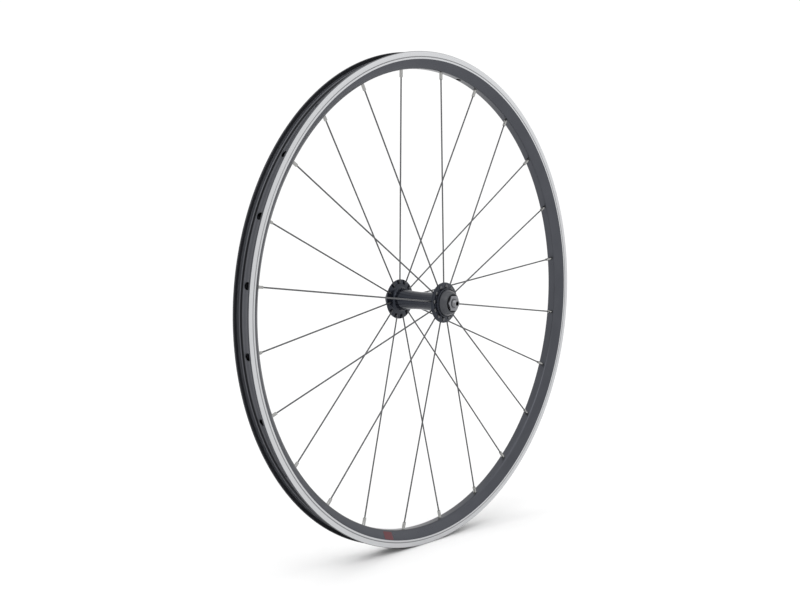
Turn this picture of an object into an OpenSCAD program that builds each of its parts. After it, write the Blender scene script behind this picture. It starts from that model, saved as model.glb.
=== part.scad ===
// Bicycle front wheel for rim brakes, with a cup-and-cone hub on a hollow axle.
// The origin is the wheel's centre, the axle lies along Y and +Z is up.
// "Left" parts are on the +Y side and "right" parts on the -Y side.

/* [Rim] */
// Radius over the rim's outer edges
rim_outer_r = 290.8; // [288:0.1:296]
// Radius of the shelf that the tyre bead sits on
bead_seat_r = 285.5; // [283:0.1:287]
// Radius of the floor of the well between the bead seats
well_r = 282.9; // [281.5:0.1:283.5]
// Radius of the brake tracks' inner edge
track_inner_r = 282.05; // [280:0.05:283]
// Radius of the rim's inner face, where the nipples come out
nose_r = 271; // [269:0.1:272]
// Width over the brake tracks
rim_width = 24.2; // [23:0.1:27]
// Width between the hooks that hold the tyre
hook_width = 19.8; // [19:0.1:20.4]
// Radius at the middle of the wear groove in each brake track
wear_groove_r = 284.5; // [283.5:0.1:286]

/* [Spokes] */
// Number of spokes, half of them to each flange
spoke_count = 24; // [16:4:28]
// Angle of the first spoke from +X towards +Z
first_spoke_angle = 7.73; // [0:0.01:15]
// Diameter of the spoke wire
spoke_d = 1.8; // [1.8:0.1:2]
// Angle between a straight spoke and the wheel's middle plane
spoke_lean = 7; // [6.9:0.05:7.1]
// Diameter of the valve hole
valve_hole_d = 6.5; // [6:0.1:6.8]

/* [Hub] */
// Distance over the locknuts, the gap between the fork ends
over_locknuts = 100; // [99:0.5:101]
// Length of the axle
axle_length = 108; // [106:1:110]
// Diameter of the bore through the axle
axle_bore_d = 5.2; // [5:0.1:5.4]
// Diameter of each flange
flange_d = 47.4; // [46:0.1:50]
// Distance from the middle plane to a flange's inner face
flange_inner = 33; // [32.9:0.05:33.1]
// Thickness of each flange
flange_t = 2.2; // [2:0.1:2.4]
// Diameter of the circle of spoke holes
spoke_circle_d = 38.4; // [38:0.1:39]
// Diameter at the barrel's waist
barrel_waist_d = 20.9; // [20:0.1:22]
// Diameter at the barrel's ends
barrel_end_d = 25; // [24:0.1:25.6]
// Diameter of the domed cone covers
cover_d = 30.4; // [30:0.1:30.8]
// Distance across the flats of the locknuts
locknut_flats = 17; // [16.8:0.1:17]

/* [Bearings] */
// Balls in each bearing
ball_count = 10; // [8:1:10]
// Diameter of the balls, three sixteenths of an inch
ball_d = 4.7625; // [4.5, 4.7625]
// Diameter of the circle through the balls' centres
ball_circle_d = 16.6; // [16.5:0.05:16.7]
// Distance from the middle plane to the balls' centres
ball_y = 35.9; // [35.8:0.05:36]
// Gap between a ball and its races
race_gap = 0.06; // [0.04:0.01:0.08]

/* [Hidden] */
$fn = 96;
side_names = ["left", "right"];
function two(n) = n < 10 ? str("0", n) : str(n);
function spoke_name(i) = str("spoke_", two(i + 1));
sided = ["nipples", "bearing_cup", "ball_set", "ball_retainer", "cone", "dust_cap", "cone_cover",
         "keyed_washer", "locknut"];

spoke_pitch = 360 / spoke_count;
spoke_r = spoke_d / 2;
hub_hole_r = spoke_r + 0.25;   // spoke hole in a flange
bend_r = 1.6;                  // centre line of a spoke's elbow
head_d = 4.5;                  // spoke head
elbow_x = spoke_circle_d / 2 + bend_r * (1 - sin(spoke_lean));
elbow_y = flange_inner - bend_r * cos(spoke_lean);
spoke_end_x = 273.8;           // thread end, just inside the nipple's head

half_w = rim_width / 2;
half_hook = hook_width / 2;
wall = 1.3;                    // thickness of the rim's walls
floor_t = 2;                   // thickness of the inner face, where the nipples pull
nose_flat = 3.4;               // half width of the flat on the inner face
nose_round = 3;                // radius either side of that flat
paint_step = 0.1;              // painted sidewall stands proud of the machined track
access_hole_r = 4.2;           // hole in the well that a nipple goes in through
nipple_hole_r = 2.15;

nipple_r = 1.95;
nipple_head_r = 3;
nipple_tip_x = 262.5;
nipple_flats = 3.2;            // across the square that the key turns

axle_thread_r = 4.5;
axle_end_r = 4.3;              // plain end that a fork's slot takes
axle_middle_r = 4.2;
thread_gap = 0.03;             // radial gap drawn between a thread and its nut
key_w = 1.4;                   // keyway along the axle
key_depth = 0.8;

flange_outer = flange_inner + flange_t;
collar_r = 17.2;
collar_end = 39.2;
groove_outer_r = 16.3;         // ring groove in the shell's end that a cover's skirt runs in
groove_inner_r = 13.6;
groove_y = 37.8;
cup_bore_r = 12.6;
cup_y = 32.4;
shell_bore_r = 7;

ball_circle_r = ball_circle_d / 2;
race_r = ball_d / 2 + race_gap;
cone_angle = 100;              // where the cone's race ends, measured round a ball
cone_r = ball_circle_r + race_r * cos(cone_angle);
cone_start = ball_y - 1.4;
dust_cap_y = ball_y + 2.7;
cone_end = 45;
washer_end = 46.4;
locknut_end = over_locknuts / 2;
cover_r = cover_d / 2;
cover_mouth_r = 10.35;
cover_end = 47.2;
dome_y = 40.1;                 // where a cover's skirt turns into its dome
label_angle = first_spoke_angle + 16.5 * spoke_pitch;
valve_angle = first_spoke_angle + 4.5 * spoke_pitch;

// Points along an arc about c, from angle a to angle b.
function arc(c, r, a, b, steps) =
    [for (k = [0 : steps]) let (t = a + (b - a) * k / steps) c + r * [cos(t), sin(t)]];

// A half outline in [radius, y], with its mirror image, as one closed outline.
function both_halves(half) =
    concat(half, [for (k = [len(half) - 1 : -1 : 0]) [half[k][0], -half[k][1]]]);

// Turns an outline in [radius, y] about the wheel's axis.
module turned(points, sweep = 360) {
    rotate([-90, 0, 0]) rotate_extrude(angle = sweep) polygon(points);
}

// Places children, drawn pointing along +X, at an angle round the wheel.
module at_angle(a) {
    rotate([0, -a, 0]) children();
}

// Places children, drawn on the +Y side, on the side that is asked for.
module on_side(side) {
    mirror([0, side == "right" ? 1 : 0, 0]) children();
}

// A round bar from y = from to y = to, about a line through [x, 0].
module bar(x, r, from, to) {
    translate([x, from, 0]) rotate([-90, 0, 0]) cylinder(r = r, h = to - from);
}

// ---- Rim ----

wall_top = [track_inner_r - 0.25, half_w + paint_step];
nose_centre = [nose_r + nose_round, nose_flat];
wall_run = wall_top - nose_centre;
wall_touch = atan2(wall_run[1], wall_run[0]) + acos(nose_round / norm(wall_run));
tip_r = 0.7;

function rim_outline() = both_halves(concat(
    // well, bead seat and the undercut below the hook
    [[well_r, 6.2], [bead_seat_r - 0.2, 7.2], [bead_seat_r, half_hook + 0.8],
     [bead_seat_r + 2.9, half_hook + 0.8]],
    // hook and rounded tip
    arc([rim_outer_r - tip_r, half_hook + tip_r], tip_r, -120, 0, 4),
    arc([rim_outer_r - tip_r, half_w - tip_r], tip_r, 0, 90, 3),
    // brake track with its wear groove
    [[wear_groove_r + 0.5, half_w], [wear_groove_r + 0.25, half_w - 0.35],
     [wear_groove_r - 0.25, half_w - 0.35], [wear_groove_r - 0.5, half_w],
     [track_inner_r, half_w], wall_top],
    // rounded corner of the inner face
    arc(nose_centre, nose_round, wall_touch, 180, 5)));

function chamber_outline() = both_halves([
    [well_r - wall, 6.4], [bead_seat_r - wall - 0.3, 7.8], [bead_seat_r - wall - 0.3, half_w - 1.7],
    [track_inner_r, half_w - 1.6], [nose_r + floor_t, 4.5]]);

module rim() {
    color("dimgray") difference() {
        rotate([-90, 0, 0]) rotate_extrude() difference() {
            polygon(rim_outline());
            polygon(chamber_outline());
        }
        for (i = [0 : spoke_count - 1]) at_angle(spoke_angle(i)) {
            on_side(spoke_side(i)) along_spoke(nose_r - 3) cylinder(r = nipple_hole_r, h = 7);
            translate([well_r - 4, 0, 0]) rotate([0, 90, 0]) cylinder(r = access_hole_r, h = 9);
        }
        at_angle(valve_angle) translate([nose_r - 4, 0, 0]) rotate([0, 90, 0])
            cylinder(d = valve_hole_d, h = 20);
    }
}

// Plain blank label on the painted sidewall.
module rim_label() {
    half_span = 1.75;
    thick = 0.12;
    run = [cos(wall_touch - 90), sin(wall_touch - 90)];
    out = thick * [cos(wall_touch), sin(wall_touch)];
    foot = nose_centre + nose_round * [cos(wall_touch), sin(wall_touch)];
    low = foot + 1 * run;
    high = foot + 10.4 * run;
    color("firebrick") mirror([0, 1, 0]) at_angle(label_angle) at_angle(half_span)
        turned([low, high, high + out, low + out], 2 * half_span);
}

// ---- Spokes and nipples ----

function spoke_angle(i) = first_spoke_angle + spoke_pitch * i;
function spoke_side(i) = side_names[i % 2];

// Places children, drawn pointing along +Z, on a straight spoke's line at radius x.
module along_spoke(x) {
    translate([x, elbow_y - (x - elbow_x) * tan(spoke_lean), 0])
        rotate([0, 0, -spoke_lean]) rotate([0, 90, 0]) children();
}

// Half section of a spoke's head about its own axis: flat under the head, domed outside.
function head_outline() = concat(
    [[0, -0.4], [spoke_r + 0.15, -0.4], [head_d / 2 - 0.35, 0], [head_d / 2, 0.3]],
    [for (t = [20 : 20 : 80]) [head_d / 2 * cos(t), 0.3 + 0.9 * sin(t)]], [[0, 1.2]]);

module spoke(i) {
    lap = 0.15;
    color("dimgray") at_angle(spoke_angle(i)) on_side(spoke_side(i)) {
        translate([spoke_circle_d / 2, flange_outer + 0.4, 0]) rotate([-90, 0, 0])
            rotate_extrude($fn = 32) polygon(head_outline());
        bar(spoke_circle_d / 2, spoke_r, flange_inner - lap, flange_outer + 0.3);
        // the elbow is swaged a little thicker than the wire
        translate([spoke_circle_d / 2 + bend_r, flange_inner, 0]) rotate([0, 0, 180])
            rotate_extrude(angle = 90 - spoke_lean) translate([bend_r, 0]) circle(r = spoke_r + 0.03);
        along_spoke(elbow_x - lap)
            cylinder(r = spoke_r, h = (spoke_end_x - elbow_x) / cos(spoke_lean));
    }
}

module nipple(i) {
    head_x = nose_r + floor_t + 0.15;
    shank = head_x - nipple_tip_x;
    at_angle(spoke_angle(i)) on_side(spoke_side(i)) along_spoke(nipple_tip_x) difference() {
        union() {
            cylinder(r = nipple_r, h = shank + 0.6, $fn = 48);
            translate([0, 0, shank + 0.5]) cylinder(r = nipple_head_r, h = 1.3, $fn = 48);
        }
        translate([0, 0, -1]) cylinder(r = spoke_r + thread_gap, h = shank + 5, $fn = 48);
        // flats for the key
        for (turn = [0 : 90 : 270]) rotate([0, 0, turn])
            translate([nipple_flats / 2, -3, -1]) cube([2, 6, 6]);
    }
}

module nipples(side) {
    color("silver") for (i = [0 : spoke_count - 1]) if (spoke_side(i) == side) nipple(i);
}

// ---- Hub shell ----

function barrel_radius(y) =
    (barrel_waist_d + (barrel_end_d - barrel_waist_d) * pow(y / 29, 2)) / 2;

function shell_outline() = both_halves(concat(
    [[barrel_waist_d / 2, 2]],
    [for (y = [8 : 5 : 28]) [barrel_radius(y), y]],
    arc([barrel_end_d / 2 + 3.4, 29.6], 3.4, 180, 90, 4),
    // flange
    [[flange_d / 2 - 0.4, flange_inner], [flange_d / 2, flange_inner + 0.4],
     [flange_d / 2, flange_outer - 0.4], [flange_d / 2 - 0.4, flange_outer],
     [collar_r + 0.5, flange_outer], [collar_r, flange_outer + 0.5]],
    // collar, groove for the cover's skirt, bearing seat and axle tunnel
    [[collar_r, collar_end - 0.4], [collar_r - 0.4, collar_end], [groove_outer_r, collar_end],
     [groove_outer_r, groove_y], [groove_inner_r, groove_y], [groove_inner_r, collar_end],
     [cup_bore_r, collar_end], [cup_bore_r, cup_y], [shell_bore_r, cup_y]]));

module hub_shell() {
    color("darkslategray") difference() {
        turned(shell_outline());
        for (i = [0 : spoke_count - 1]) at_angle(spoke_angle(i)) on_side(spoke_side(i))
            bar(spoke_circle_d / 2, hub_hole_r, flange_inner - 1, flange_outer + 1);
    }
}

// ---- Bearings ----

module bearing_cup(side) {
    color("silver") on_side(side) turned(concat(
        [[6.7, cup_y], [cup_bore_r, cup_y], [cup_bore_r, ball_y + 2], [11.3, ball_y + 2]],
        arc([ball_circle_r, ball_y], race_r, 0, -120, 8),
        [[6.7, ball_y - race_r]]));
}

module balls_at(r) {
    for (k = [0 : ball_count - 1]) at_angle(360 * k / ball_count)
        translate([ball_circle_r, ball_y, 0]) sphere(r = r, $fn = 48);
}

module ball_set(side) {
    color("silver") on_side(side) balls_at(ball_d / 2);
}

module ball_retainer(side) {
    color("goldenrod") on_side(side) difference() {
        translate([0, ball_y, 0])
            turned([[9.5, -0.7], [10.1, -0.7], [10.1, 1.9], [10.5, 1.9], [10.5, 2.4], [9.5, 2.4]]);
        balls_at(ball_d / 2 + 0.1);
    }
}

module cone(side) {
    color("gray") on_side(side) difference() {
        turned(concat(
            [[axle_thread_r + thread_gap, cone_start], [ball_circle_r - race_r - 0.2, cone_start],
             [ball_circle_r - race_r, cone_start + 0.2]],
            arc([ball_circle_r, ball_y], race_r, 180, cone_angle, 7),
            [[cone_r, cone_end], [axle_thread_r + thread_gap, cone_end]]));
        // flats for the cone spanner
        for (s = [-1, 1]) translate([s * 12.5 - 5, cone_end - 1.4, -10]) cube([10, 2, 20]);
    }
}

module dust_cap(side) {
    color("black") on_side(side) turned([
        [cone_r + 0.08, dust_cap_y], [cup_bore_r, dust_cap_y], [cup_bore_r, dust_cap_y + 0.55],
        [cone_r + 0.08, dust_cap_y + 0.55]]);
}

// ---- Fixed parts on the axle ----

module cone_cover(side) {
    top_r = cover_mouth_r + 0.5;
    dome = [for (k = [0 : 8]) let (t = 90 * k / 8)
        [top_r + (cover_r - top_r) * cos(t), dome_y + (cover_end - dome_y) * pow(sin(t), 2.4)]];
    color("dimgray") on_side(side) turned(concat(
        [[cover_r - 1.1, 38.3], [cover_r - 0.2, 38.3], [cover_r, 38.5]],
        dome,
        [[cover_mouth_r, cover_end], [cover_mouth_r, 45.8], [cone_r + 0.04, 44.6],
         [cone_r + 0.04, 42.2], [cover_r - 3.2, 42], [cover_r - 1.1, dome_y + 0.3]]));
}

module keyed_washer(side) {
    color("silver") on_side(side) {
        difference() {
            bar(0, 8, cone_end, washer_end);
            bar(0, axle_thread_r + 0.1, cone_end - 1, washer_end + 1);
        }
        translate([-0.55, cone_end, axle_thread_r - 0.6]) cube([1.1, washer_end - cone_end, 2]);
    }
}

module locknut(side) {
    corner_r = locknut_flats / 2 / cos(30);
    color("lightslategray") on_side(side) difference() {
        intersection() {
            at_angle(4) translate([0, washer_end, 0]) rotate([-90, 0, 0])
                cylinder(r = corner_r, h = locknut_end - washer_end, $fn = 6);
            turned([[0, washer_end], [corner_r - 0.5, washer_end], [corner_r, washer_end + 0.5],
                    [corner_r, locknut_end - 1.1], [corner_r - 2.6, locknut_end], [0, locknut_end]]);
        }
        bar(0, axle_thread_r + thread_gap, washer_end - 1, locknut_end + 1);
    }
}

module axle() {
    tip = axle_length / 2;
    color("silver") difference() {
        turned(both_halves([
            [axle_middle_r, 31], [axle_thread_r, 31.3], [axle_thread_r, locknut_end + 0.1],
            [axle_end_r, locknut_end + 0.4], [axle_end_r, tip - 0.4], [axle_end_r - 0.4, tip],
            [axle_bore_d / 2, tip]]));
        for (s = [-1, 1]) translate([-key_w / 2, s > 0 ? cone_end - 2 : -tip - 1,
                                     axle_thread_r - key_depth])
            cube([key_w, tip - cone_end + 3, 2]);
    }
}

// ---- Which nodes are drawn ----

rim();
rim_label();
hub_shell();
axle();
for (i = [0 : spoke_count - 1]) spoke(i);
for (side = side_names) {
    nipples(side);
    bearing_cup(side);
    ball_set(side);
    ball_retainer(side);
    cone(side);
    dust_cap(side);
    cone_cover(side);
    keyed_washer(side);
    locknut(side);
}
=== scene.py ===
# %% [markdown]
# # A bicycle front wheel, piece by piece
# The wheel is for rim brakes. A hollow alloy rim is held by 24 straight spokes, and the spokes by a
# hub that turns on balls round a hollow steel axle. The solid parts were designed first, with their
# sizes and joints. This file gives each part the shape and finish that the eye expects.
#
# Most of a wheel is turned on a lathe or repeated round a circle. Both follow a rule, so Geometry
# Nodes make them here: one tree turns an outline, one repeats a piece, and others build on those.
# All lengths are written in millimetres and scaled to metres when a mesh is made. The axle lies
# along Y, +Z is up, and "left" is the +Y side.

# %% Load the solid parts
import math

import bmesh
import bpy
from mathutils import Matrix, Vector


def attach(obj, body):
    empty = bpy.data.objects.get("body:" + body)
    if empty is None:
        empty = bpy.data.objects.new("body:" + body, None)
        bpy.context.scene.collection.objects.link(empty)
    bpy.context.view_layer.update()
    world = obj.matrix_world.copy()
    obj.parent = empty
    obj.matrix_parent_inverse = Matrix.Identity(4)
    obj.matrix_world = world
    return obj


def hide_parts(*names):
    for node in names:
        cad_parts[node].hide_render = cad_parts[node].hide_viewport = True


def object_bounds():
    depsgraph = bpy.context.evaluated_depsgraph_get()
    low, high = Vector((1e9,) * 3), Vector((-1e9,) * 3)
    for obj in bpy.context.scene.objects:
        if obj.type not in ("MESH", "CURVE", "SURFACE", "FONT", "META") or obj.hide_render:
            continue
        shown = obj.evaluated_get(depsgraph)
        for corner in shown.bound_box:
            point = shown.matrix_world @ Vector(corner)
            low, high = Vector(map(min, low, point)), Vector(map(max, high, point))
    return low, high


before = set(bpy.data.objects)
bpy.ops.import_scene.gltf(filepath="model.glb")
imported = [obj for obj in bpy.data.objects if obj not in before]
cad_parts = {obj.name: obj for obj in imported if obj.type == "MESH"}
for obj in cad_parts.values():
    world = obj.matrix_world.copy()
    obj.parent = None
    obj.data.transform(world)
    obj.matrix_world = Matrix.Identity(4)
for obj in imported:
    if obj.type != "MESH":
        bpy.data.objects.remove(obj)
cad_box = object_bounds()
MM = 0.001

# %% [markdown]
# ## Sums on node sockets
# A tree of nodes is a formula. Written node by node it is long and hard to read, so a small class
# holds one output socket and lets ordinary sums be written on it. It serves geometry trees and
# material trees alike, because both have the Math node.

# %% A socket that can be added and multiplied
def connect(tree, value, socket):
    """Links a Wire to a socket, or types a plain value into it."""
    if isinstance(value, Wire):
        tree.links.new(value.socket, socket)
    else:
        socket.default_value = value


class Wire:
    """The output of a node, with arithmetic."""

    def __init__(self, tree, socket):
        self.tree, self.socket = tree, socket

    def math(self, operation, *others, clamp=False):
        node = self.tree.nodes.new("ShaderNodeMath")
        node.operation, node.use_clamp = operation, clamp
        for value, socket in zip((self,) + others, node.inputs):
            connect(self.tree, value, socket)
        return Wire(self.tree, node.outputs[0])

    def __add__(self, other):
        return self.math("ADD", other)

    def __sub__(self, other):
        return self.math("SUBTRACT", other)

    def __mul__(self, other):
        return self.math("MULTIPLY", other)

    def __truediv__(self, other):
        return self.math("DIVIDE", other)


def add_node(tree, kind, inputs=None, out=0, **settings):
    """Adds a node, fills its inputs by name or number, and returns one output as a Wire."""
    node = tree.nodes.new(kind)
    for name, value in settings.items():
        setattr(node, name, value)
    for name, value in (inputs or {}).items():
        for one in value if isinstance(value, list) else [value]:
            connect(tree, one, node.inputs[name])
    return Wire(tree, node.outputs[out])


# %% [markdown]
# ## An empty tree, and a mesh from a tree
# Every tree here takes one piece of geometry in and gives one out, and has named inputs for its
# sizes. A modifier stores those inputs by the socket's identifier, so the name is looked up first.
# The evaluated result becomes a plain mesh. Its faces are smooth, apart from edges that turn more
# than a set angle, and its volume is measured: a positive volume says that the faces point outwards.

# %% Make a tree and read its inputs
SOCKETS = {"geometry": "NodeSocketGeometry", "number": "NodeSocketFloat", "count": "NodeSocketInt",
           "object": "NodeSocketObject", "finish": "NodeSocketMaterial"}


def new_tree(name, **inputs):
    """A geometry tree. Returns it with a dictionary of its inputs, each as a Wire."""
    tree = bpy.data.node_groups.new(name, "GeometryNodeTree")
    names = {"geometry": "geometry", **inputs, "finish": "finish"}
    for label, kind in names.items():
        tree.interface.new_socket(label, in_out="INPUT", socket_type=SOCKETS[kind])
    tree.interface.new_socket("geometry", in_out="OUTPUT", socket_type=SOCKETS["geometry"])
    start = tree.nodes.new("NodeGroupInput")
    return tree, {label: Wire(tree, start.outputs[label]) for label in names}


def end_tree(tree, result, wires):
    """Closes a tree: real geometry, with its finish."""
    real = add_node(tree, "GeometryNodeRealizeInstances", {"Geometry": result})
    done = add_node(tree, "GeometryNodeSetMaterial", {"Geometry": real, "Material": wires["finish"]})
    tree.links.new(done.socket, tree.nodes.new("NodeGroupOutput").inputs[0])


def use_tree(tree, inner, inputs):
    """Puts one tree inside another as a single node."""
    node = tree.nodes.new("GeometryNodeGroup")
    node.node_tree = inner
    for label, value in inputs.items():
        connect(tree, value, node.inputs[label])
    return Wire(tree, node.outputs[0])


# %% Draw a line, run a tree on it, keep the mesh
def line_object(name, points, closed=True, thickness=None):
    """A hidden line of (radius, y) points. A closed one runs anticlockwise, so its solid faces outwards."""
    following = points[1:] + points[:1]
    area = sum(a[0] * b[1] - b[0] * a[1] for a, b in zip(points, following))
    if closed and area < 0:
        points = points[::-1]
    last = len(points) if closed else len(points) - 1
    mesh = bpy.data.meshes.new(name)
    mesh.from_pydata([(r * MM, y * MM, 0) for r, y in points],
                     [(k, (k + 1) % len(points)) for k in range(last)], [])
    if thickness:
        mesh.attributes.new("thickness", "FLOAT", "POINT").data.foreach_set("value", thickness)
    line = bpy.data.objects.new(name, mesh)
    bpy.context.scene.collection.objects.link(line)
    return line


def finish_piece(name, mesh, body, slot, stands_for, sharp=35):
    """Turns a mesh into a piece of the wheel that rides on a body and stands for solid parts."""
    mesh.name = name
    mesh.polygons.foreach_set("use_smooth", [True] * len(mesh.polygons))
    mesh.set_sharp_from_angle(angle=math.radians(sharp))
    piece = bpy.data.objects.new(name, mesh)
    bpy.context.scene.collection.objects.link(piece)
    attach(piece, body)
    if stands_for:
        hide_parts(*stands_for)
    form = bmesh.new()
    form.from_mesh(mesh)
    loose = sum(not edge.is_manifold for edge in form.edges)
    print(f"{name}: {len(mesh.polygons)} faces, {form.calc_volume(signed=True) * 1e6:.3f} cm3, "
          f"{loose} open edges")
    form.free()
    return piece


def grow(name, line, tree, sizes, *facts, **more):
    """Runs a tree on a line or a mesh, and keeps what it makes as one plain mesh."""
    modifier = line.modifiers.new(tree.name, "NODES")
    modifier.node_group = tree
    sockets = {item.name: item.identifier for item in tree.interface.items_tree
               if item.in_out == "INPUT"}
    for label, value in sizes.items():
        modifier[sockets[label]] = value
    evaluated = line.evaluated_get(bpy.context.evaluated_depsgraph_get())
    mesh = bpy.data.meshes.new_from_object(evaluated)
    bpy.data.objects.remove(line)
    return finish_piece(name, mesh, *facts, **more)


# %% [markdown]
# ## Outlines
# A turned part is known by half of its section. Rounded corners are arcs, and a part that is the
# same on both sides is drawn once and mirrored. These two helpers are used for every outline.

# %% Arcs and mirrored outlines
def arc(centre, radius, start, end, steps):
    turns = [math.radians(start + (end - start) * k / steps) for k in range(steps + 1)]
    return [(centre[0] + radius * math.cos(t), centre[1] + radius * math.sin(t)) for t in turns]


def both_halves(half):
    return half + [(r, -y) for r, y in reversed(half)]


def on_side(points, side):
    """An outline that is drawn on the left, moved to its side."""
    return [(r, y * SIDES[side]) for r, y in points]


SIDES = {"left": 1, "right": -1}

# %% [markdown]
# ## Finishes
# A finish is read from where a point is on the part: how far from the axle and how far along it.
# That suits turned metal, because a lathe leaves its marks in circles. Three things vary on each
# surface, as on real metal: the colour a little, the gloss a little, and the height by a few
# micrometres. What stays the same all over is typed into the shader itself.

# %% Helpers for finishes
def place(tree):
    """x, y, z and the distance from the axle, in millimetres."""
    point = add_node(tree, "ShaderNodeTexCoord", out="Object")
    parts = tree.nodes.new("ShaderNodeSeparateXYZ")
    connect(tree, point, parts.inputs[0])
    x, y, z = (Wire(tree, socket) / MM for socket in parts.outputs)
    return x, y, z, (x * x + z * z).math("SQRT")


def noise(tree, x, y, z, detail=2.0):
    """Smooth noise from 0 to 1, read at the given coordinates."""
    point = add_node(tree, "ShaderNodeCombineXYZ", {0: x, 1: y, 2: z})
    return add_node(tree, "ShaderNodeTexNoise", {"Vector": point, "Scale": 1.0, "Detail": detail})


def step(value, edge, soft):
    """0 below the edge and 1 above it, with a soft border."""
    return ((value - edge) / soft + 0.5).math("ADD", 0.0, clamp=True)


def between(value, low, high, soft):
    return step(value, low, soft) * step(value * -1.0, -high, soft)


def mix(tree, factor, first, second):
    """A colour between two others. Each is a Wire or (red, green, blue)."""
    colours = [c if isinstance(c, Wire) else (*c, 1.0) for c in (first, second)]
    return add_node(tree, "ShaderNodeMix", {0: factor, 6: colours[0], 7: colours[1]}, out=2,
                    data_type="RGBA", clamp_factor=True)


def lerp(factor, first, second):
    """A number between two others."""
    return factor * (second - first) + first


def new_finish(name, **sockets):
    """A material and its shader, with the values that are the same all over it."""
    material = bpy.data.materials.new(name)
    material.use_nodes = True
    shader = material.node_tree.nodes["Principled BSDF"]
    for label, value in sockets.items():
        shader.inputs[label.replace("_", " ")].default_value = value
    return material, material.node_tree, shader


def end_finish(tree, shader, colour, roughness, height=None, depth=0.01):
    """Links what varies over the surface. Height is from 0 to 1, and depth its size in millimetres."""
    connect(tree, colour, shader.inputs["Base Color"])
    connect(tree, roughness, shader.inputs["Roughness"])
    if height:
        bump = add_node(tree, "ShaderNodeBump", {"Strength": 1.0, "Distance": depth * MM,
                                                 "Height": height})
        connect(tree, bump, shader.inputs["Normal"])


# %% [markdown]
# ### The rim's finish
# The whole rim is anodised dark. Then the brake tracks are machined flat, which cuts through the
# dark skin to bright metal and leaves fine circles. The groove in each track shows when it has worn
# too thin. One material holds it all, so that the edge between dark and bright is as sharp as
# the cutter left it: the bright part is where a point is far from the middle plane and outside the
# track's inner edge. The tyre bed between the hooks is duller than the walls. Its steep faces, the
# well's side walls and the hooks' inner faces, are painted darkest: painted shade, as if the channel's
# recesses were in shadow. Circular marks spread a highlight across themselves, which is what the
# anisotropy and the tangent round the axle are for.

# %% Make the rim's finish
def rim_finish():
    material, tree, shader = new_finish("rim_anodised_and_machined", Anisotropic=0.2)
    x, y, z, radius = place(tree)
    side = y.math("ABSOLUTE")
    groove = between(radius, 283.9, 285.1, 0.1)
    # the groove is sunk below the track, so the side that counts as track is let down for it
    track = step(radius, 281.97, 0.08) * step(side + groove * 0.5, 12.04, 0.06)
    cloud = noise(tree, x * 0.035, y * 0.1, z * 0.035, 3.0)
    skin_grain = noise(tree, x * 1.4, y * 1.4, z * 1.4, 2.0)
    circles = noise(tree, radius * 7.0, y * 7.0, x * 0.012, 3.0)
    sweep = noise(tree, x * 0.009, radius * 0.5, z * 0.009, 1.0)
    bed = step(radius, 282.4, 0.4) * step(side * -1.0, -11.2, 0.4)
    # painted shade: the well's side walls and the hooks' inner faces are marked to be darkened as if
    # shadowed in the channel
    painted_shade = bed * (between(side, 5.7, 7.0, 0.3) + step(radius, 286.3, 0.4)).math("MINIMUM", 1.0)
    dark = mix(tree, cloud, (0.065, 0.068, 0.078), (0.086, 0.089, 0.101))
    dark = mix(tree, skin_grain * 0.25, dark, (0.051, 0.054, 0.062))
    dark = mix(tree, bed, dark, mix(tree, cloud, (0.084, 0.087, 0.098), (0.118, 0.122, 0.137)))
    # the painted shade is mixed into the anodised colour here
    dark = mix(tree, painted_shade * 0.85, dark, (0.022, 0.023, 0.026))
    bright = mix(tree, circles, (0.445, 0.452, 0.466), (0.595, 0.602, 0.614))
    bright = mix(tree, sweep * 0.4, bright, (0.635, 0.64, 0.65))
    bright = mix(tree, groove * 0.7, bright, (0.12, 0.122, 0.13))
    rough = lerp(track, cloud * 0.08 + 0.25, circles * 0.12 + 0.28)
    height = lerp(track, skin_grain, circles)
    connect(tree, bed * -0.4 + 1.0, shader.inputs["Metallic"])
    connect(tree, add_node(tree, "ShaderNodeTangent", direction_type="RADIAL", axis="Y"),
            shader.inputs["Tangent"])
    end_finish(tree, shader, mix(tree, track, dark, bright), rough, height, 0.008)
    return material


# %% [markdown]
# ### Turned and drawn metal
# The other metals differ in colour, gloss and how plainly the tool marks show, so one function
# makes them all. Marks run in circles on turned parts. Wire is drawn through a die, and its faint
# marks are blotches that are longer than they are wide.

# %% Make the other metals
def metal(name, dark, light, gloss, marks=6.0, depth=0.01, **sockets):
    """A turned metal. gloss is its roughness from and to, and marks how many circles to a millimetre."""
    material, tree, shader = new_finish(name, **sockets)
    x, y, z, radius = place(tree)
    circles = noise(tree, radius * marks, y * marks, x * 0.05, 2.0)
    cloud = noise(tree, x * 0.22, y * 0.22, z * 0.22, 3.0)
    colour = mix(tree, circles * 0.5 + cloud * 0.5, dark, light)
    end_finish(tree, shader, colour, lerp(cloud, *gloss), circles, depth)
    return material


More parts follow.
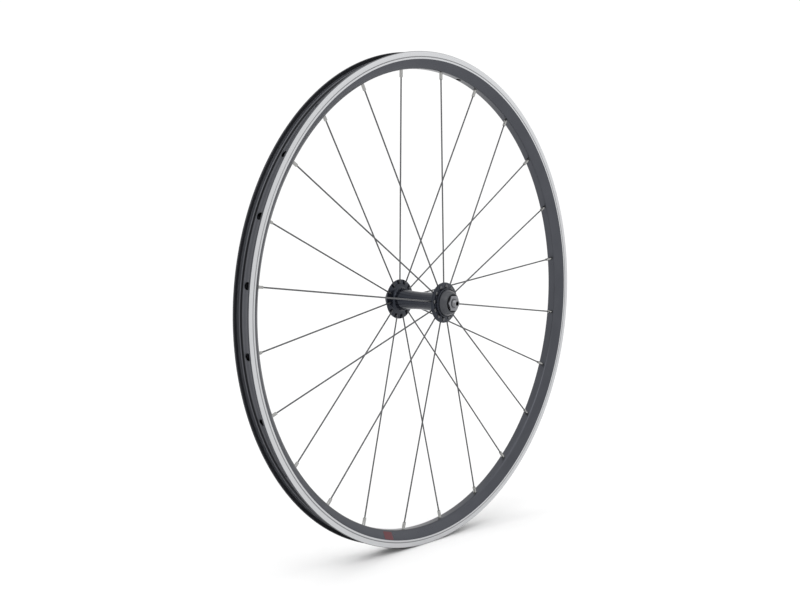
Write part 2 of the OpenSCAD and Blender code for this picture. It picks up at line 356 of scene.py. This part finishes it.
FINISHES = {
    "rim": rim_finish(),
    "hub": metal("hub_black_anodised", (0.003, 0.0036, 0.006), (0.007, 0.008, 0.012), (0.09, 0.15),
                 3.0, 0.003, Metallic=0.0, Specular_Tint=(0.62, 0.68, 0.82, 1.0)),
    "spokes": metal("spoke_black_oxide", (0.078, 0.079, 0.083), (0.128, 0.130, 0.135), (0.25, 0.40),
                    0.8, 0.003, Metallic=0.95),
    "nipples": metal("nipple_nickel", (0.27, 0.27, 0.265), (0.40, 0.40, 0.39), (0.18, 0.30),
                     5.0, 0.004, Metallic=1.0),
    "nuts": metal("locknut_zinc", (0.175, 0.178, 0.192), (0.270, 0.275, 0.292), (0.24, 0.38),
                  5.0, 0.008, Metallic=1.0),
    "axle": metal("axle_steel", (0.18, 0.183, 0.195), (0.31, 0.314, 0.33), (0.25, 0.38),
                  7.0, 0.008, Metallic=1.0),
    "cover": metal("cover_black_moulded", (0.030, 0.032, 0.038), (0.044, 0.047, 0.055), (0.26, 0.34),
                   0.7, 0.004, Metallic=0.0, Specular_IOR_Level=0.45),
    "bearing": metal("bearing_ground_steel", (0.48, 0.49, 0.51), (0.72, 0.73, 0.75), (0.10, 0.22),
                     10.0, 0.003, Metallic=1.0),
    "seal": metal("seal_black_rubber", (0.012, 0.012, 0.013), (0.03, 0.03, 0.032), (0.5, 0.7),
                  1.5, 0.02, Metallic=0.0),
    "retainer": metal("retainer_yellow_zinc", (0.42, 0.33, 0.16), (0.62, 0.53, 0.28), (0.24, 0.4),
                      4.0, 0.008, Metallic=1.0),
}
print("finishes:", ", ".join(material.name for material in FINISHES.values()))

# %% [markdown]
# ## Turning an outline
# Curve to Mesh carries a profile along a curve. With a circle round the axle as the curve, and the
# part's outline as the profile, it does a lathe's work and closes the seam by itself. The outline
# is shifted inwards by the circle's radius first, because a profile is carried with its own origin
# on the curve.

# %% Tree that turns an outline about the axle
CARRIER_R = 10 * MM

turned, wires = new_tree("turned", steps="count")
circle = add_node(turned, "GeometryNodeCurvePrimitiveCircle",
                  {"Resolution": wires["steps"], "Radius": CARRIER_R})
circle = add_node(turned, "GeometryNodeTransform", {"Geometry": circle,
                                                    "Rotation": (math.pi / 2, 0, 0)})
shifted = add_node(turned, "GeometryNodeTransform", {"Geometry": wires["geometry"],
                                                     "Translation": (-CARRIER_R, 0, 0)})
profile = add_node(turned, "GeometryNodeMeshToCurve", {"Mesh": shifted})
swept = add_node(turned, "GeometryNodeCurveToMesh", {"Curve": circle, "Profile Curve": profile})
end_tree(turned, swept, wires)

# %% [markdown]
# ## Repeating a piece round the axle
# One piece is drawn at +X, on the left side. The tree makes a point for each copy, and turns each
# copy by its own number. On a wheel every second spoke goes to the other side of the hub. A copy
# goes there by a half turn about its own radius, which puts left where right was, and unlike
# a mirror it does not turn the faces inside out.

# %% Tree that repeats a piece
ring, wires = new_tree("ring", count="count", first="number", alternate="number")
number = add_node(ring, "GeometryNodeInputIndex")
points = add_node(ring, "GeometryNodePoints", {"Count": wires["count"]})
over = number.math("MODULO", 2.0) * wires["alternate"] * math.pi
turn = (number / wires["count"] * math.tau + wires["first"]) * -1.0
euler = add_node(ring, "ShaderNodeCombineXYZ", {0: over, 1: turn})
rotation = add_node(ring, "FunctionNodeEulerToRotation", {0: euler})
copies = add_node(ring, "GeometryNodeInstanceOnPoints",
                  {"Points": points, "Instance": wires["geometry"], "Rotation": rotation})
end_tree(ring, copies, wires)

# %% [markdown]
# ## Drilling
# A drilled part is a turned blank with rods taken out of it. The rods for one spoke are an object
# of their own, the ring tree repeats them, and an exact boolean cuts them all at once. The same
# tree makes a hollow part: the outline of the hollow is turned too, and taken out with the rods.

# %% Tree that turns a blank, hollows it and drills it
drilled, wires = new_tree("drilled", steps="count", hollow="object", rods="object", extra="object",
                          count="count", first="number")


def object_shape(tree, wire):
    return add_node(tree, "GeometryNodeObjectInfo", {"Object": wire}, out="Geometry")


blank = use_tree(drilled, turned, {"geometry": wires["geometry"], "steps": wires["steps"]})
hollow = use_tree(drilled, turned, {"geometry": object_shape(drilled, wires["hollow"]),
                                    "steps": wires["steps"]})
rods = use_tree(drilled, ring, {"geometry": object_shape(drilled, wires["rods"]), "alternate": 1.0,
                                "count": wires["count"], "first": wires["first"]})
cut = add_node(drilled, "GeometryNodeMeshBoolean",
               {"Mesh 1": blank, "Mesh 2": [hollow, rods, object_shape(drilled, wires["extra"])]},
               operation="DIFFERENCE", solver="EXACT")
end_tree(drilled, cut, wires)


# %% Rods to drill with
def rod_object(name, rods):
    """Round rods, each as (start, end, radius) in the plane z = 0 and at an angle about the axle."""
    form = bmesh.new()
    for start, end, radius, angle in rods:
        a, b = Vector((*start, 0)) * MM, Vector((*end, 0)) * MM
        lie = (b - a).to_track_quat("Z", "Y").to_matrix().to_4x4()
        spot = Matrix.Rotation(-angle, 4, "Y") @ Matrix.Translation((a + b) / 2) @ lie
        bmesh.ops.create_cone(form, cap_ends=True, segments=32, radius1=radius * MM,
                              radius2=radius * MM, depth=(b - a).length, matrix=spot)
    mesh = bpy.data.meshes.new(name)
    form.to_mesh(mesh)
    form.free()
    tool = bpy.data.objects.new(name, mesh)
    bpy.context.scene.collection.objects.link(tool)
    return tool


# %% [markdown]
# ## The rim
# A rim is a rolled extrusion bent to a circle and closed. From outside in, its section has two
# hooks that grip the tyre, a shelf for each bead with a well between them, flat brake tracks, and
# walls that slope in to a narrow inner face. It is hollow. Each spoke has a small hole in the inner
# face, tilted to its own side, and a large one in the well that the nipple goes in through.
# Midway between two spokes a hole for the valve goes through both.

# %% Sizes shared by rim, spokes and hub
SPOKES = 24
FIRST = math.radians(7.73)
VALVE = FIRST + 4.5 * math.tau / SPOKES
LEAN = math.radians(7)
WIRE_R = 0.9
SPOKE_CIRCLE_R = 19.2
FLANGE_INNER, FLANGE_OUTER = 33.0, 35.2
BEND_R = 1.6
ELBOW = (SPOKE_CIRCLE_R + BEND_R * (1 - math.sin(LEAN)), FLANGE_INNER - BEND_R * math.cos(LEAN))


def on_spoke(radius):
    """The point of a left spoke's line at a distance from the axle."""
    return radius, ELBOW[1] - (radius - ELBOW[0]) * math.tan(LEAN)


# %% Draw the rim's section
NOSE, NOSE_ROUND = (274.0, 3.4), 3.0
WALL_TOP = (281.8, 12.2)
run = (WALL_TOP[0] - NOSE[0], WALL_TOP[1] - NOSE[1])
WALL_TURN = math.degrees(math.atan2(run[1], run[0]) + math.acos(NOSE_ROUND / math.hypot(*run)))
WALL_FOOT = arc(NOSE, NOSE_ROUND, WALL_TURN, 180, 1)[0]
# a point just above the foot keeps the rounding's shading off the flat wall
wall_low = (0.06 * WALL_TOP[0] + 0.94 * WALL_FOOT[0], 0.06 * WALL_TOP[1] + 0.94 * WALL_FOOT[1])
rim_section = both_halves(
    [(282.9, 2.0), (282.9, 5.9), (283.1, 6.25), (284.9, 6.9), (285.3, 7.2), (285.5, 7.8),
     (285.5, 10.2), (285.7, 10.6), (286.0, 10.7), (288.3, 10.7), (288.9, 10.4)]
    + arc((290.1, 10.6), 0.7, -150, 0, 8) + arc((290.1, 11.4), 0.7, 0, 90, 5)
    + [(285.05, 12.1), (284.8, 11.78), (284.2, 11.78), (283.95, 12.1), (282.02, 12.1),
       (281.95, 12.2), WALL_TOP, wall_low]
    + arc(NOSE, NOSE_ROUND, WALL_TURN, 180, 8) + [(271.0, 1.5)])
chamber_section = both_halves(
    [(281.6, 6.4), (283.9, 7.8), (283.9, 10.4), (282.05, 10.5), (273.0, 4.5)])

# %% Turn and drill the rim
tools = [line_object("chamber", chamber_section),
         rod_object("nipple_and_access_rods", [(on_spoke(268), on_spoke(276), 2.15, 0),
                                               ((279, 0), (288, 0), 4.2, 0)]),
         rod_object("valve_rod", [((267, 0), (288, 0), 3.25, VALVE)])]
grow("rim_hoop", line_object("rim_section", rim_section), drilled,
     {"steps": 288, "hollow": tools[0], "rods": tools[1], "extra": tools[2], "count": SPOKES,
      "first": FIRST, "finish": FINISHES["rim"]},
     "wheel", "rim_alloy", ["rim"])
for tool in tools:
    bpy.data.objects.remove(tool)

# %% [markdown]
# ## The spokes
# A spoke is one wire. A head is pressed on its end, it goes straight through the flange, bends at
# the elbow and runs to the rim. It could be a cylinder with a sphere on its end, but the real one
# has no joint, so here a single line carries its thickness as an attribute and the head is just
# where the wire is thick. The ring tree makes 24 of it.

# %% Tree that gives a line its thickness, and repeats it
wire_ring, wires = new_tree("wire_ring", sides="count", count="count", first="number")
thickness = add_node(wire_ring, "GeometryNodeInputNamedAttribute", {"Name": "thickness"},
                     out="Attribute", data_type="FLOAT")
profile = add_node(wire_ring, "GeometryNodeCurvePrimitiveCircle",
                   {"Resolution": wires["sides"], "Radius": MM})
centre_line = add_node(wire_ring, "GeometryNodeMeshToCurve", {"Mesh": wires["geometry"]})
one = add_node(wire_ring, "GeometryNodeCurveToMesh",
               {"Curve": centre_line, "Profile Curve": profile, "Scale": thickness,
                "Fill Caps": True})
all_spokes = use_tree(wire_ring, ring, {"geometry": one, "count": wires["count"],
                                        "first": wires["first"], "alternate": 1.0})
end_tree(wire_ring, all_spokes, wires)

# %% Draw one spoke and make all of them
head = [(36.6, 0.35), (36.52, 1.0), (36.3, 1.6), (36.0, 2.05), (35.8, 2.23), (35.62, 2.25),
        (35.5, 2.15), (35.42, 1.6), (35.34, 1.05), (FLANGE_OUTER, WIRE_R)]
bend = arc((SPOKE_CIRCLE_R + BEND_R, FLANGE_INNER), BEND_R, 180, 263, 9)
run_out = [on_spoke(radius) for radius in (40, 80, 140, 200, 250, 273.8)]
spoke_line = [(SPOKE_CIRCLE_R, y) for y, _ in head] + [(SPOKE_CIRCLE_R, 34.1)] + bend + run_out
spoke_thick = [r for _, r in head] + [WIRE_R] * (len(bend) + len(run_out) + 1)
grow("spoke_wires", line_object("spoke_line", spoke_line, False, spoke_thick), wire_ring,
     {"sides": 16, "count": SPOKES, "first": FIRST, "finish": FINISHES["spokes"]},
     "wheel", "spoke_steel", [f"spoke_{k + 1:02d}" for k in range(SPOKES)], sharp=50)

# %% [markdown]
# ## The nipples
# A nipple is a long nut. Its shank is round with four flats near the tip for the key, and its head
# sits inside the rim with a slot for a driver. It is turned first. Then every point within the
# flats is pulled in to a square: the square's edge lies at half its width divided by the larger of
# the sine and cosine of the point's angle. The slot is cut with a boolean, once, before the ring
# tree repeats the nipple.

# %% Tree that flattens, slots and places a nipple
nipple_ring, wires = new_tree("nipple_ring", steps="count", half_flats="number", flats_to="number",
                              slot_at="number", start="number", across="number", lean="number",
                              count="count", first="number")


def position(tree):
    parts = tree.nodes.new("ShaderNodeSeparateXYZ")
    connect(tree, add_node(tree, "GeometryNodeInputPosition"), parts.inputs[0])
    return [Wire(tree, socket) for socket in parts.outputs]


def set_position(tree, shape, x, y, z):
    point = add_node(tree, "ShaderNodeCombineXYZ", {0: x, 1: y, 2: z})
    return add_node(tree, "GeometryNodeSetPosition", {"Geometry": shape, "Position": point})


shank = use_tree(nipple_ring, turned, {"geometry": wires["geometry"], "steps": wires["steps"]})
x, y, z = position(nipple_ring)
reach = x.math("ABSOLUTE").math("MAXIMUM", z.math("ABSOLUTE"))
pull = (wires["half_flats"] / reach.math("MAXIMUM", 1e-6)).math("MINIMUM", 1.0)
within = y.math("LESS_THAN", wires["flats_to"])
pull = (pull - 1.0) * within + 1.0
shank = set_position(nipple_ring, shank, x * pull, y, z * pull)
slot_centre = add_node(nipple_ring, "ShaderNodeCombineXYZ", {1: wires["slot_at"]})
slot = add_node(nipple_ring, "GeometryNodeMeshCube", {"Size": (10 * MM, 1.4 * MM, 1.1 * MM)})
slot = add_node(nipple_ring, "GeometryNodeTransform", {"Geometry": slot, "Translation": slot_centre})
shank = add_node(nipple_ring, "GeometryNodeMeshBoolean", {"Mesh 1": shank, "Mesh 2": slot},
                 operation="DIFFERENCE", solver="EXACT")
spot = add_node(nipple_ring, "ShaderNodeCombineXYZ", {0: wires["start"], 1: wires["across"]})
lie = add_node(nipple_ring, "ShaderNodeCombineXYZ", {2: wires["lean"]})
shank = add_node(nipple_ring, "GeometryNodeTransform",
                 {"Geometry": shank, "Translation": spot, "Rotation": lie})
nipples = use_tree(nipple_ring, ring, {"geometry": shank, "count": wires["count"],
                                       "first": wires["first"], "alternate": 1.0})
end_tree(nipple_ring, nipples, wires)

# %% Turn one nipple and make all of them
TIP_R = 262.5
NIPPLE_BORE_R = WIRE_R + 0.03
nipple_section = [(NIPPLE_BORE_R, 0.0), (1.5, 0.0), (1.95, 0.35), (1.95, 1.6), (1.95, 3.2), (1.95, 4.9),
                  (1.95, 5.3), (1.95, 10.2), (2.05, 10.6), (2.7, 10.95), (3.0, 11.35),
                  (2.95, 12.0), (2.5, 12.6), (1.8, 12.9), (NIPPLE_BORE_R, 12.95)]
grow("spoke_nipples", line_object("nipple_section", nipple_section), nipple_ring,
     {"steps": 32, "half_flats": 1.6 * MM, "flats_to": 5 * MM, "slot_at": 12.9 * MM,
      "start": on_spoke(TIP_R)[0] * MM, "across": on_spoke(TIP_R)[1] * MM,
      "lean": -math.pi / 2 - LEAN, "count": SPOKES, "first": FIRST,
      "finish": FINISHES["nipples"]},
     "wheel", "nipple_plate", ["nipples_left", "nipples_right"], sharp=40)

# %% [markdown]
# ## The hub shell
# The shell is turned from bar: a waisted barrel, a flange at each end drilled for twelve spokes, and
# outside each flange a collar with a ring groove that keeps water out of the bearing. It is the
# same tree as the rim, with short rods through the flanges and no hollow.

# %% Turn and drill the hub shell
def barrel(y):
    return 10.45 + 2.05 * (y / 29) ** 2


shell_section = both_halves(
    [(barrel(0), 0.01)] + [(barrel(y), y) for y in range(2, 29, 2)]
    + arc((15.9, 29.6), 3.4, 180, 90, 10)
    + [(23.2, FLANGE_INNER), (23.55, FLANGE_INNER + 0.15), (23.7, FLANGE_INNER + 0.5),
       (23.7, FLANGE_OUTER - 0.5), (23.55, FLANGE_OUTER - 0.15), (23.2, FLANGE_OUTER),
       (17.8, FLANGE_OUTER)] + arc((17.8, FLANGE_OUTER + 0.6), 0.6, -90, -180, 4)
    + [(17.2, 38.7), (17.05, 39.05), (16.7, 39.2), (16.3, 39.2), (16.3, 37.8), (13.6, 37.8),
       (13.6, 39.2), (12.6, 39.2), (12.6, 32.4), (7.0, 32.4)])
shell_rods = rod_object("flange_rods", [((SPOKE_CIRCLE_R, 32), (SPOKE_CIRCLE_R, 36.2), WIRE_R + 0.25, 0)])
grow("hub_barrel", line_object("shell_section", shell_section), drilled,
     {"steps": 144, "rods": shell_rods, "count": SPOKES, "first": FIRST, "finish": FINISHES["hub"]},
     "wheel", "hub_alloy", ["hub_shell"])
bpy.data.objects.remove(shell_rods)

# %% [markdown]
# ## The cone covers
# A domed cover closes each end of the hub and stands still while the shell turns. Its skirt dips
# into the shell's ring groove, and its mouth leaves room for the locknut. It is turned, with
# enough rows for the dome to look round.

# %% Turn the cone covers
def cover_section():
    dome = []
    for k in range(17):
        t = math.radians(90 * k / 16)
        dome.append((10.85 + 4.35 * math.cos(t), 40.1 + 7.1 * math.sin(t) ** 2.4))
    return ([(14.1, 38.3), (15.0, 38.3), (15.15, 38.38), (15.2, 38.55)] + dome
            + [(10.55, 47.15), (10.38, 47.0), (10.35, 45.8), (7.916, 44.6), (7.916, 42.2),
               (12.0, 42.0), (14.1, 40.4)])


for side in SIDES:
    grow(f"cover_dome_{side}", line_object("cover", on_side(cover_section(), side)), turned,
         {"steps": 128, "finish": FINISHES["cover"]},
         "axle_set", "cover_plastic", [f"cone_cover_{side}"])

# %% [markdown]
# ## The locknuts
# A locknut is turned from hexagonal bar, so its outer corners are chamfered by a cone and its face
# stays round. Fine teeth pressed in that face bite the fork. The tree turns the blank, lifts and
# lowers the points of the face by their angle, and keeps what lies inside a six-sided prism.

# %% Tree that cuts a hexagonal nut with a toothed face
nut, wires = new_tree("nut", steps="count", corner="number", prism_at="number", turn="number",
                      teeth="number", face_at="number", face_r="number", tooth_depth="number")
blank = use_tree(nut, turned, {"geometry": wires["geometry"], "steps": wires["steps"]})
x, y, z = position(nut)
radius = (x * x + z * z).math("SQRT")
on_face = y.math("ABSOLUTE").math("GREATER_THAN", wires["face_at"])
on_face = on_face * radius.math("LESS_THAN", wires["face_r"])
wave = (z.math("ARCTAN2", x) * wires["teeth"]).math("COSINE") * 0.5 + 0.5
sink = on_face * wave * wires["tooth_depth"] * y.math("SIGN")
blank = set_position(nut, blank, x, y - sink, z)
prism = add_node(nut, "GeometryNodeMeshCylinder",
                 {"Vertices": 6, "Radius": wires["corner"], "Depth": 20 * MM})
prism_spot = add_node(nut, "ShaderNodeCombineXYZ", {1: wires["prism_at"]})
prism_turn = add_node(nut, "ShaderNodeCombineXYZ", {0: math.pi / 2})
prism = add_node(nut, "GeometryNodeTransform", {"Geometry": prism, "Rotation": prism_turn})
prism_turn = add_node(nut, "ShaderNodeCombineXYZ", {1: wires["turn"]})
prism = add_node(nut, "GeometryNodeTransform", {"Geometry": prism, "Rotation": prism_turn,
                                                "Translation": prism_spot})
shape = add_node(nut, "GeometryNodeMeshBoolean", {"Mesh 2": [blank, prism]},
                 operation="INTERSECT", solver="EXACT")
end_tree(nut, shape, wires)

# %% Cut the locknuts
FLATS = 17.0
CORNER_R = FLATS / 2 / math.cos(math.radians(30))
nut_section = [(4.53, 46.4), (9.3, 46.4), (9.75, 46.65), (9.86, 46.9), (9.86, 48.9), (9.0, 49.35),
               (8.1, 49.7), (7.35, 49.9), (7.0, 50.0), (6.4, 50.0), (5.6, 50.0), (5.15, 50.0),
               (4.85, 49.8), (4.53, 49.5)]
for side in SIDES:
    grow(f"hex_nut_{side}", line_object("nut", on_side(nut_section, side)), nut,
         {"steps": 240, "corner": CORNER_R * MM, "prism_at": 48 * MM * SIDES[side],
          "turn": -math.radians(4) * SIDES[side], "teeth": 48.0, "face_at": 49.95 * MM,
          "face_r": 6.9 * MM, "tooth_depth": 0.28 * MM, "finish": FINISHES["nuts"]},
         "axle_set", "axle_steel", [f"locknut_{side}"], sharp=28)

# %% [markdown]
# ## The axle
# The axle is a steel tube, threaded at both ends, with a keyway for the washers. A thread is
# a helix: going once round, the ridge moves along by one pitch. So the height of a point of the
# surface depends on its place along the axle minus its share of a turn. The tree moves the points
# of a finely divided tube by that rule, which keeps the tube closed.

# %% Tree that cuts a thread and a keyway
threaded, wires = new_tree("threaded", steps="count", pitch="number", depth="number",
                           thread_from="number", thread_to="number", root="number",
                           key_half="number", key_floor="number")
bar = use_tree(threaded, turned, {"geometry": wires["geometry"], "steps": wires["steps"]})
x, y, z = position(threaded)
radius = (x * x + z * z).math("SQRT")
along = y.math("ABSOLUTE")
outside = radius.math("GREATER_THAN", wires["root"])
on_thread = outside * along.math("GREATER_THAN", wires["thread_from"])
on_thread = on_thread * along.math("LESS_THAN", wires["thread_to"])
helix = (y / wires["pitch"] - z.math("ARCTAN2", x) / math.tau).math("PINGPONG", 0.5) * 2.0
shrink = ((radius - helix * wires["depth"] * on_thread) / radius.math("MAXIMUM", 1e-6))
bar = set_position(threaded, bar, x * shrink, y, z * shrink)
x, y, z = position(threaded)
in_key = outside * along.math("GREATER_THAN", 43 * MM) * z.math("GREATER_THAN", 0.0)
in_key = in_key * x.math("ABSOLUTE").math("LESS_THAN", wires["key_half"])
floor_z = z.math("MINIMUM", wires["key_floor"])
bar = set_position(threaded, bar, x, y, z + (floor_z - z) * in_key)
end_tree(threaded, bar, wires)

# %% Cut the axle
THREAD_ROWS = [50.4 + 0.125 * k for k in range(26)]
axle_section = both_halves(
    [(4.2, 31.0), (4.5, 31.3), (4.5, 43.0), (4.5, 43.05), (4.5, 50.1)]
    + [(4.3, y) for y in THREAD_ROWS] + [(4.3, 53.6), (4.15, 53.82), (3.95, 54.0), (2.85, 54.0),
                                         (2.6, 53.75)])
grow("axle_tube", line_object("axle", axle_section), threaded,
     {"steps": 96, "pitch": 1 * MM, "depth": 0.36 * MM, "thread_from": 50.45 * MM,
      "thread_to": 53.55 * MM, "root": 3.9 * MM, "key_half": 0.75 * MM, "key_floor": 3.7 * MM,
      "finish": FINISHES["axle"]},
     "axle_set", "axle_steel", ["axle"])

# %% [markdown]
# ## The balls
# Ten balls at each end roll between cup and cone. They are hidden, but they are separate pieces
# that travel round at about 0.6 of the wheel's turn, so each set is a mesh on its own body.

# %% Tree for a set of balls, and both sets
balls, wires = new_tree("balls", ball_r="number", circle_r="number", across="number", count="count")
ball = add_node(balls, "GeometryNodeMeshUVSphere",
                {"Segments": 24, "Rings": 12, "Radius": wires["ball_r"]})
spot = add_node(balls, "ShaderNodeCombineXYZ", {0: wires["circle_r"], 1: wires["across"]})
ball = add_node(balls, "GeometryNodeTransform", {"Geometry": ball, "Translation": spot})
ball_ring = use_tree(balls, ring, {"geometry": ball, "count": wires["count"]})
end_tree(balls, ball_ring, wires)
for side in SIDES:
    # the tree draws its own ball, so the line only carries the modifier
    grow(f"bearing_balls_{side}", line_object("carrier", [(0, 0), (1, 0), (0, 1)]), balls,
         {"ball_r": 4.7625 / 2 * MM, "circle_r": 8.3 * MM, "across": 35.9 * MM * SIDES[side],
          "count": 10, "finish": FINISHES["bearing"]},
         f"ball_cage_{side}", "bearing_steel", [f"ball_set_{side}"])

# %% [markdown]
# ## The label
# A small blank label sits on the right side wall, opposite the valve hole. A label is a printed
# film with rounded corners, laid on a wall that is part of a cone. Its outline is drawn flat, as
# distance along the wall and angle round the wheel, then each point is put on the cone twice: on
# the wall and a tenth of a millimetre above it.

# %% Lay the label on the wall
def label_point(along, across, lift):
    """A point on the right side wall: along its slope from its foot, and round the wheel."""
    slope = math.radians(WALL_TURN - 90)
    out = math.radians(WALL_TURN)
    radius = WALL_FOOT[0] + along * math.cos(slope) + lift * math.cos(out)
    y = WALL_FOOT[1] + along * math.sin(slope) + lift * math.sin(out)
    turn = VALVE + math.pi + across / radius
    return Vector((radius * math.cos(turn), -y, radius * math.sin(turn))) * MM


def label_mesh(low, high, half_width, corner, lift):
    """A closed thin plate with round corners."""
    edge = half_width - corner
    centres = [(high - corner, edge), (low + corner, edge), (low + corner, -edge), (high - corner, -edge)]
    flat = []
    for k, centre in enumerate(centres):
        flat += arc(centre, corner, 90 * k, 90 * k + 90, 6)
    form = bmesh.new()
    rings = [[form.verts.new(label_point(a, b, h)) for a, b in flat] for h in (-0.05, lift)]
    form.faces.new(rings[0])
    form.faces.new(rings[1][::-1])
    for k in range(len(flat)):
        m = (k + 1) % len(flat)
        form.faces.new((rings[0][k], rings[1][k], rings[1][m], rings[0][m]))
    bmesh.ops.recalc_face_normals(form, faces=form.faces)
    mesh = bpy.data.meshes.new("label")
    form.to_mesh(mesh)
    form.free()
    return mesh


def film_finish():
    material, tree, shader = new_finish("label_red_film", Specular_IOR_Level=0.35)
    x, y, z, radius = place(tree)
    wear = noise(tree, x * 0.9, y * 0.9, z * 0.9, 4.0)
    colour = mix(tree, wear, (0.070, 0.010, 0.015), (0.105, 0.018, 0.025))
    end_finish(tree, shader, colour, lerp(wear, 0.25, 0.45), wear, 0.01)
    return material


plate = label_mesh(low=0.7, high=10.8, half_width=7.6, corner=1.2, lift=0.1)
plate.materials.append(film_finish())
finish_piece("rim_sticker", plate, "wheel", "label_film", ["rim_label"])

# %% [markdown]
# ## Parts that keep their solid shape
# Cups, cones, dust caps, keyed washers and ball retainers are inside the hub, and their solids are
# already right. They only need a finish.

# %% Finish the parts that stay
KEPT = {"bearing_cup": "bearing", "cone": "bearing", "dust_cap": "seal", "keyed_washer": "axle",
        "ball_retainer": "retainer"}
for part, finish in KEPT.items():
    for side in SIDES:
        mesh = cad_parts[f"{part}_{side}"].data
        mesh.materials.clear()
        mesh.materials.append(FINISHES[finish])
print("kept solids:", ", ".join(KEPT))

# %% [markdown]
# ## Floor, light and camera
# The floor is plain and nearly white, and so is the surrounding light, as in a shop's studio. A very
# wide light from overhead lifts the floor evenly to white. A soft lamp high up towards -X gives the
# bright metal its direction, and a weak one towards +X opens the shadows. The camera stands off the
# wheel's right side and towards -X, a little above the axle, with a lens that is slightly long.

# %% Lay the floor and light it
def white_world(strength):
    world = bpy.data.worlds.new("studio")
    world.use_nodes = True
    background = world.node_tree.nodes["Background"]
    background.inputs["Color"].default_value = (1.0, 1.0, 1.0, 1.0)
    background.inputs["Strength"].default_value = strength
    bpy.context.scene.world = world


def wide_light(name, strength, width, tilt):
    """Light from far overhead, the same all over the floor. Angles are in degrees."""
    light = bpy.data.lights.new(name, "SUN")
    light.energy, light.angle = strength, math.radians(width)
    hanger = bpy.data.objects.new(name, light)
    hanger.rotation_euler = (math.radians(tilt), -math.radians(tilt), 0)
    bpy.context.scene.collection.objects.link(hanger)


def soft_lamp(name, spot, aim, size, watts):
    lamp = bpy.data.lights.new(name, "AREA")
    lamp.shape, lamp.size, lamp.energy = "SQUARE", size, watts
    stand = bpy.data.objects.new(name, lamp)
    stand.location = spot
    stand.rotation_euler = (Vector(aim) - Vector(spot)).to_track_quat("-Z", "Y").to_euler()
    bpy.context.scene.collection.objects.link(stand)


FLOOR_Z = cad_box[0].z
FLOOR_REACH = 40
floor_corners = [(-1, -1), (1, -1), (1, 1), (-1, 1)]
floor_mesh = bpy.data.meshes.new("floor")
floor_mesh.from_pydata([(x * FLOOR_REACH, y * FLOOR_REACH, FLOOR_Z) for x, y in floor_corners],
                       [], [(0, 1, 2, 3)])
floor_finish, floor_tree, floor_shader = new_finish("floor_pale", Specular_IOR_Level=0.1)
x, y, z, radius = place(floor_tree)
paint = noise(floor_tree, x * 0.02, y * 0.02, z, 2.0)
end_finish(floor_tree, floor_shader, mix(floor_tree, paint, (0.86, 0.86, 0.86), (0.89, 0.89, 0.89)),
           lerp(paint, 0.7, 0.8))
floor_mesh.materials.append(floor_finish)
floor = bpy.data.objects.new("floor", floor_mesh)
bpy.context.scene.collection.objects.link(floor)
white_world(1.04)
wide_light("overhead", 0.6, 80, 12)
soft_lamp("key", (-1.6, -1.4, 1.9), (0, 0, 0), 1.6, 8)
soft_lamp("fill", (1.8, -1.2, 0.8), (0, 0, 0), 1.4, 1.5)
bpy.context.scene.view_settings.view_transform = "Standard"
print("floor at", round(FLOOR_Z / MM, 1), "mm")

# %% Place the camera
CAMERA = Vector((-1254.995, -1041.317, 158.514)) * MM
AIM = Vector((-16.58, 19.43, 0.86)) * MM
camera = bpy.data.objects.new("camera", bpy.data.cameras.new("camera"))
camera.data.lens, camera.data.sensor_width = 62.27, 36
camera.location = CAMERA
camera.rotation_euler = (AIM - CAMERA).to_track_quat("-Z", "Y").to_euler()
bpy.context.scene.collection.objects.link(camera)
bpy.context.scene.camera = camera

# %% Print the solid parts' box
print("solid parts' box:", [tuple(round(v / MM, 2) for v in corner) for corner in cad_box])
